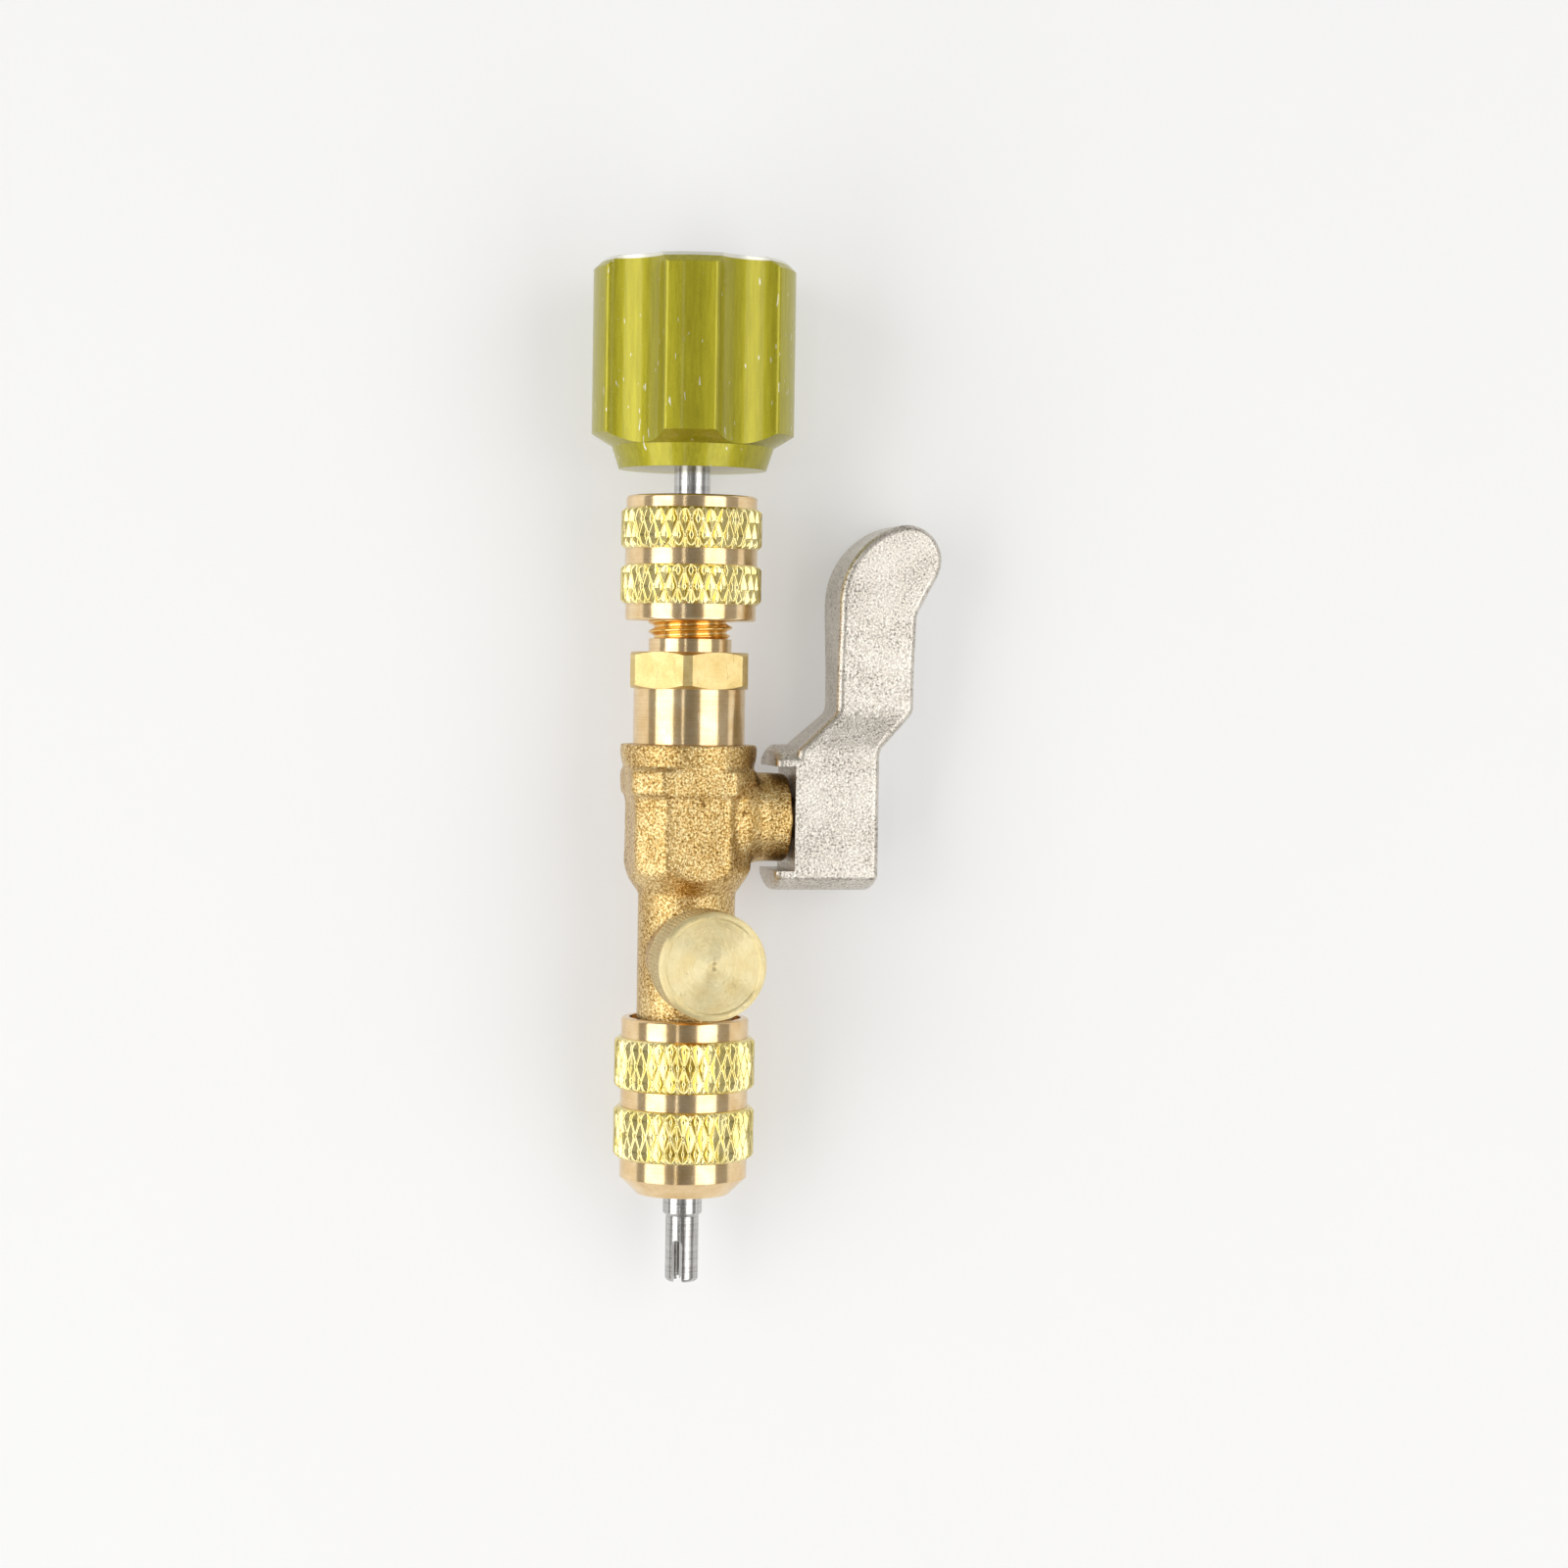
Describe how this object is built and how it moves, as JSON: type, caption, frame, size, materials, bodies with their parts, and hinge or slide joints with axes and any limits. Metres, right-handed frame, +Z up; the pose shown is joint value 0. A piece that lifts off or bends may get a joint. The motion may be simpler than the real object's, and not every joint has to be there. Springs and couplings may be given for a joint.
{
  "type": "valve core removal tool",
  "caption": "Valve core removal tool: brass ball valve tee with knurled swivel nuts, capped side port, lever, and a knobbed pull rod with a slotted magnetic tip.",
  "frame": {"origin": "on the table, under the middle of the tool's bounding box as it lies at rest", "axes": "+Y along the tool towards the knob, +Z up from the table, +X towards the lever"},
  "size_m": [0.0466, 0.1352, 0.0306],
  "materials": {
    "anodised_knob": "green anodised, satin",
    "rod_steel": "bright ground",
    "machined_brass": "bright turned",
    "cast_brass": "grainy as cast",
    "satin_brass": "satin turned",
    "nickel_plate": "grainy satin nickel",
    "ball_chrome": "polished",
    "screw_steel": "plain",
    "black_rubber": "smooth",
    "white_seal": "smooth",
    "magnet_nickel": "plated"
  },
  "bodies": {
    "body": {"valve_body": "cast_brass", "flare_adapter": "machined_brass", "adapter_seal": "black_rubber", "upper_ball_seat": "white_seal", "lower_ball_seat": "white_seal", "nut_retaining_ring": "screw_steel", "coupling_gasket": "black_rubber"},
    "lever": {"lever": "nickel_plate", "ball": "ball_chrome", "valve_stem": "machined_brass", "stem_thrust_washer": "white_seal", "stem_seal_inner": "black_rubber", "stem_seal_outer": "black_rubber", "lever_lock_washer": "screw_steel", "lever_screw": "screw_steel"},
    "upper_gasket": {"flare_gasket": "white_seal"},
    "upper_nut": {"upper_nut": "machined_brass", "gland_bush": "machined_brass"},
    "rod_seal": {"rod_seal": "black_rubber"},
    "rod": {"knob": "anodised_knob", "knob_set_screw": "screw_steel", "pull_rod": "rod_steel", "core_grip_magnet": "magnet_nickel"},
    "cap_gasket": {"cap_gasket": "black_rubber"},
    "port_cap": {"port_cap": "satin_brass"},
    "lower_nut": {"lower_nut": "machined_brass"}
  },
  "joints": [
    {"name": "lever_turn", "type": "hinge", "parent": "body", "child": "lever", "pos_m": [-0.00992, -0.00581, 0.01079], "axis": [0.978, 0.0067, -0.2087], "range_deg": [0, 10]},
    {"name": "upper_nut_rise", "type": "slide", "parent": "body", "child": "upper_gasket", "axis": [0, 0.9995, 0.0323], "range_m": [0, 0.00725]},
    {"name": "upper_nut_turn", "type": "hinge", "parent": "upper_gasket", "child": "upper_nut", "pos_m": [-0.00992, 0.02003, 0.01162], "axis": [0, 0.9995, 0.0323], "range_deg": [0, 2055.13]},
    {"name": "knob_turn", "type": "hinge", "parent": "upper_nut", "child": "rod_seal", "pos_m": [-0.00992, 0.03297, 0.01204], "axis": [0, 0.9995, 0.0323], "continuous": true},
    {"name": "rod_slide", "type": "slide", "parent": "rod_seal", "child": "rod", "axis": [0, 0.9995, 0.0323], "range_m": [-0.0034, 0.0684]},
    {"name": "cap_rise", "type": "slide", "parent": "body", "child": "cap_gasket", "axis": [0.2088, -0.0316, 0.9774], "range_m": [0, 0.004]},
    {"name": "cap_turn", "type": "hinge", "parent": "cap_gasket", "child": "port_cap", "pos_m": [-0.00741, -0.02448, 0.02193], "axis": [0.2088, -0.0316, 0.9774], "range_deg": [0, 1133.87]},
    {"name": "lower_nut_spin", "type": "hinge", "parent": "body", "child": "lower_nut", "pos_m": [-0.00992, -0.05578, 0.00917], "axis": [0, 0.9995, 0.0323], "continuous": true}
  ],
  "couplings": [
    {"joint": "upper_nut_turn", "follows": "upper_nut_rise", "rad_per_m": 4947.4},
    {"joint": "cap_turn", "follows": "cap_rise", "rad_per_m": 4947.4}
  ]
}
